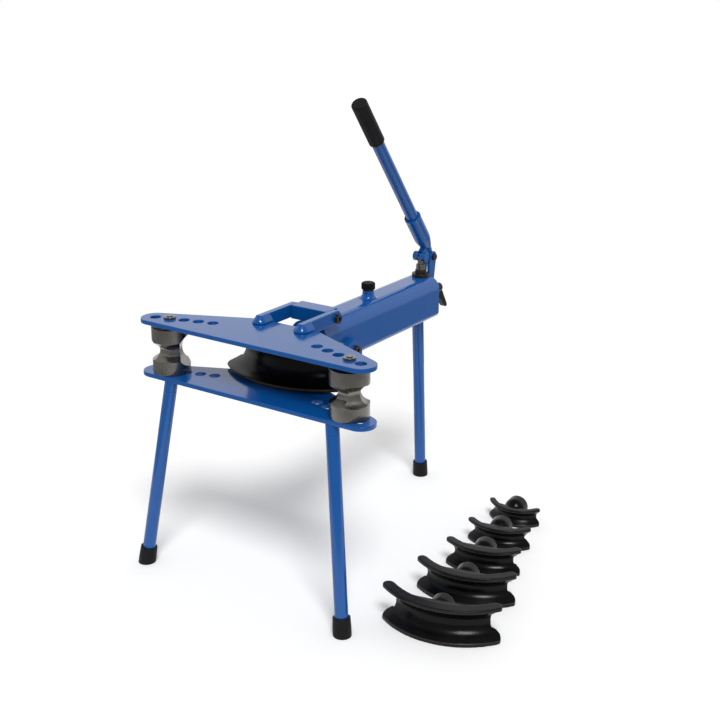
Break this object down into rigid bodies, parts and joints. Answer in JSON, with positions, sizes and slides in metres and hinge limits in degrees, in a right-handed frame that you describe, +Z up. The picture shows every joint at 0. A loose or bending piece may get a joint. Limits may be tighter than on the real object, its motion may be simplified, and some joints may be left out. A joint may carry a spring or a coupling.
{
  "type": "manual bending machine",
  "caption": "Hand-pumped hydraulic pipe bender on three legs, with loose bending formers standing beside it.",
  "frame": {"origin": "centre of the rear foot's sole, on the floor", "axes": "+Z up, +Y from the bending plates back to the pump, +X to the side on which the loose formers stand"},
  "size_m": [0.8911, 0.8561, 1.0642],
  "materials": {
    "blue_enamel": "glossy enamel",
    "black_casting": "black enamelled casting",
    "machined_steel": "machined",
    "blackened_steel": "blackened",
    "black_rubber": "matte",
    "seal_rubber": "satin"
  },
  "bodies": {
    "frame": {"lower_plate": "blue_enamel", "upper_plate": "blue_enamel", "upper_arm_left": "blue_enamel", "upper_arm_right": "blue_enamel", "lower_arm_left": "blue_enamel", "lower_arm_right": "blue_enamel", "lower_bar": "blue_enamel", "hinge_block": "blue_enamel", "upper_bolt_left": "blackened_steel", "upper_bolt_right": "blackened_steel", "lower_bolt_left": "blackened_steel", "lower_bolt_right": "blackened_steel", "casing": "blue_enamel", "front_cap": "blue_enamel", "ram_wiper": "seal_rubber", "pressure_cylinder": "machined_steel", "return_spring": "machined_steel", "filler_neck": "blue_enamel", "pump_sleeve": "machined_steel", "pump_packing": "seal_rubber", "gland_nut": "blackened_steel", "pivot_ear_left": "blue_enamel", "pivot_ear_right": "blue_enamel", "pivot_bolt": "blackened_steel", "leg_stub_front_left": "blue_enamel", "leg_stub_front_right": "blue_enamel", "leg_stub_rear": "blue_enamel", "leg_front_left": "blue_enamel", "leg_front_right": "blue_enamel", "leg_rear": "blue_enamel", "foot_front_left": "black_rubber", "foot_front_right": "black_rubber", "foot_rear": "black_rubber"},
    "ram": {"ram": "machined_steel", "piston_seal": "seal_rubber"},
    "bending_former": {"bending_former": "black_casting"},
    "counter_former_left": {"counter_former_left": "machined_steel"},
    "counter_former_right": {"counter_former_right": "machined_steel"},
    "pin_left": {"pin_left": "machined_steel"},
    "pin_right": {"pin_right": "machined_steel"},
    "filler_seal": {"filler_seal": "seal_rubber"},
    "filler_cap": {"filler_cap": "black_rubber"},
    "pump_lever": {"pump_lever": "blue_enamel"},
    "pump_piston": {"pump_piston": "machined_steel", "link_pin": "blackened_steel"},
    "handle": {"handle_tube": "blue_enamel", "handle_grip": "black_rubber"},
    "release_valve": {"release_spindle": "machined_steel", "release_lever": "black_casting"},
    "loose_former_60": {"loose_former_60": "black_casting"},
    "loose_former_48": {"loose_former_48": "black_casting"},
    "loose_former_42": {"loose_former_42": "black_casting"},
    "loose_former_34": {"loose_former_34": "black_casting"},
    "loose_former_27": {"loose_former_27": "black_casting"}
  },
  "joints": [
    {"name": "ram_feed", "type": "slide", "parent": "frame", "child": "ram", "axis": [0, -1, 0], "range_m": [-0.055, 0.13], "deforming": ["return_spring"]},
    {"name": "former_pull", "type": "slide", "parent": "ram", "child": "bending_former", "axis": [0, -1, 0], "range_m": [0, 0.036]},
    {"name": "counter_former_left_turn", "type": "hinge", "parent": "frame", "child": "counter_former_left", "pos_m": [-0.2458, -0.716, 0.4683], "axis": [0, 0, 1], "continuous": true},
    {"name": "counter_former_right_turn", "type": "hinge", "parent": "frame", "child": "counter_former_right", "pos_m": [0.2458, -0.716, 0.4683], "axis": [0, 0, 1], "continuous": true},
    {"name": "pin_left_pull", "type": "slide", "parent": "frame", "child": "pin_left", "axis": [0, 0, 1], "range_m": [0, 0.16]},
    {"name": "pin_right_pull", "type": "slide", "parent": "frame", "child": "pin_right", "axis": [0, 0, 1], "range_m": [0, 0.16]},
    {"name": "filler_cap_lift", "type": "slide", "parent": "frame", "child": "filler_seal", "axis": [0, 0, 1], "range_m": [0, 0.0081]},
    {"name": "filler_cap_turn", "type": "hinge", "parent": "filler_seal", "child": "filler_cap", "pos_m": [0, -0.2746, 0.6003], "axis": [0, 0, 1], "range_deg": [0, 1440]},
    {"name": "pump_lever_swing", "type": "hinge", "parent": "frame", "child": "pump_lever", "pos_m": [0, 0.0124, 0.625], "axis": [1, 0, 0], "range_deg": [-12, 20]},
    {"name": "pump_stroke", "type": "slide", "parent": "frame", "child": "pump_piston", "axis": [0, 0, -1], "range_m": [-0.0084, 0.0139]},
    {"name": "handle_pull", "type": "slide", "parent": "pump_lever", "child": "handle", "axis": [0, -0.628, 0.7782], "range_m": [0, 0.065]},
    {"name": "release_turn", "type": "hinge", "parent": "frame", "child": "release_valve", "pos_m": [0.037, -0.0093, 0.548], "axis": [0, 1, 0], "range_deg": [0, 70]},
    {"name": "loose_former_60_lift", "type": "slide", "parent": "frame", "child": "loose_former_60", "axis": [0, 0, 1], "range_m": [0, 0.2]},
    {"name": "loose_former_48_lift", "type": "slide", "parent": "frame", "child": "loose_former_48", "axis": [0, 0, 1], "range_m": [0, 0.2]},
    {"name": "loose_former_42_lift", "type": "slide", "parent": "frame", "child": "loose_former_42", "axis": [0, 0, 1], "range_m": [0, 0.2]},
    {"name": "loose_former_34_lift", "type": "slide", "parent": "frame", "child": "loose_former_34", "axis": [0, 0, 1], "range_m": [0, 0.2]},
    {"name": "loose_former_27_lift", "type": "slide", "parent": "frame", "child": "loose_former_27", "axis": [0, 0, 1], "range_m": [0, 0.2]}
  ],
  "couplings": [
    {"joint": "filler_cap_lift", "follows": "filler_cap_turn", "m_per_rad": 0.00031831},
    {"joint": "pump_stroke", "follows": "pump_lever_swing", "m_per_rad": 0.0395}
  ]
}
